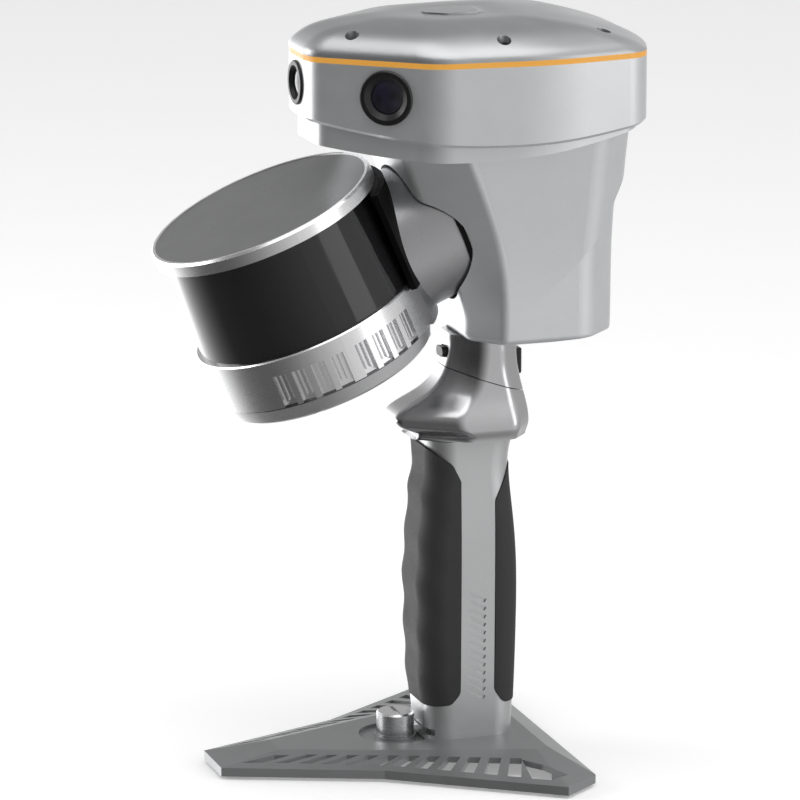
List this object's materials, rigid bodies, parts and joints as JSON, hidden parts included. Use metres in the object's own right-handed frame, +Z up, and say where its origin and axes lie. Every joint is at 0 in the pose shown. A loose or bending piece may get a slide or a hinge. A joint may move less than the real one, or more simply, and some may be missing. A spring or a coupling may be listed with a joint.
{
  "type": "handheld laser scanner",
  "caption": "Handheld laser scanner with a tilted rotating lidar, flank cameras, antenna dome, rubber grips and a three-toed stand plate.",
  "frame": {"origin": "the pole thread's mouth, on the plane the foot pads stand on, on the handle's axis", "axes": "+Z up the handle, -Y to the front where the lidar looks, +X to the scanner's own left; the pole leaves along -Z"},
  "size_m": [0.176, 0.2165, 0.3369],
  "materials": {
    "head_paint": "fine silver-grey metallic paint, satin",
    "body_paint": "fine silver-grey metallic paint, satin",
    "dome_plastic": "silver-grey painted radome plastic, satin",
    "accent_orange": "orange trim, satin",
    "handle_metal": "bead-blasted bare aluminium",
    "grip_rubber": "dark soft rubber, fine texture",
    "stand_metal": "grey powder-coated aluminium casting",
    "pad_rubber": "dark rubber pad",
    "bright_metal": "machined bright aluminium",
    "lidar_top_grey": "grey satin anodised plate",
    "window_black": "glossy dark infrared window",
    "black_plastic": "matt black plastic",
    "lens_glass": "dark coated lens glass",
    "screw_steel": "dark steel screws",
    "plated_steel": "plated steel",
    "board_green": "printed circuit board",
    "cell_wrap": "wrapped battery cell",
    "inner_plastic": "moulded inner part",
    "ceramic": "antenna ceramic",
    "copper_iron": "wound motor core"
  },
  "bodies": {
    "scanner": {"stand_plate": "stand_metal", "foot_pads": "pad_rubber", "handle_frame": "handle_metal", "front_grip": "grip_rubber", "rear_grip": "grip_rubber", "pole_insert": "plated_steel", "battery_cells": "cell_wrap", "battery_board": "board_green", "hand_guard": "handle_metal", "neck_shell": "body_paint", "power_switch": "inner_plastic", "usb_socket": "plated_steel", "neck_screws": "screw_steel", "lidar_cap": "bright_metal", "lidar_top_plate": "lidar_top_grey", "lidar_window": "window_black", "lidar_base": "bright_metal", "lidar_bottom": "stand_metal", "lidar_screws": "screw_steel", "lidar_bearings": "plated_steel", "motor_stator": "copper_iron", "lidar_board": "board_green", "lidar_shield": "black_plastic", "lidar_bracket": "handle_metal", "bracket_screws": "screw_steel", "bracket_seal": "black_plastic", "body_shell": "body_paint", "main_board": "board_green", "board_screws": "screw_steel", "heat_sink": "handle_metal", "imu_module": "inner_plastic", "head_shell": "head_paint", "antenna_dome": "dome_plastic", "dome_screws": "screw_steel", "accent_ring": "accent_orange", "head_gasket": "pad_rubber", "antenna_board": "board_green", "antenna_plane": "plated_steel", "antenna_element": "ceramic", "front_camera_bezel": "black_plastic", "front_camera_lens": "lens_glass", "front_camera_barrel": "black_plastic", "front_camera_board": "board_green", "left_camera_bezel": "black_plastic", "left_camera_lens": "lens_glass", "left_camera_barrel": "black_plastic", "left_camera_board": "board_green", "right_camera_bezel": "black_plastic", "right_camera_lens": "lens_glass", "right_camera_barrel": "black_plastic", "right_camera_board": "board_green"},
    "rotor": {"lidar_rotor": "inner_plastic", "rotor_lenses": "lens_glass", "rotor_magnet": "plated_steel"},
    "button": {"power_button": "black_plastic"},
    "cover": {"port_cover": "black_plastic"},
    "knob": {"lock_knob": "bright_metal", "knob_circlip": "plated_steel"}
  },
  "joints": [
    {"name": "lidar_rotor_spin", "type": "hinge", "parent": "scanner", "child": "rotor", "pos_m": [0, -0.092, 0.2545], "axis": [0, -0.3907, 0.9205], "continuous": true},
    {"name": "power_button_press", "type": "slide", "parent": "scanner", "child": "button", "axis": [0, 1, 0], "range_m": [0, 0.0008], "stiffness_N_per_m": 1500, "springref_m": -0.0005},
    {"name": "port_cover_hinge", "type": "hinge", "parent": "scanner", "child": "cover", "pos_m": [0, 0.0234, 0.173], "axis": [-1, 0, 0], "range_deg": [0, 90]},
    {"name": "lock_knob_turn", "type": "hinge", "parent": "scanner", "child": "knob", "pos_m": [0, -0.03, 0], "axis": [0, 0, 1], "range_deg": [0, 90]}
  ]
}
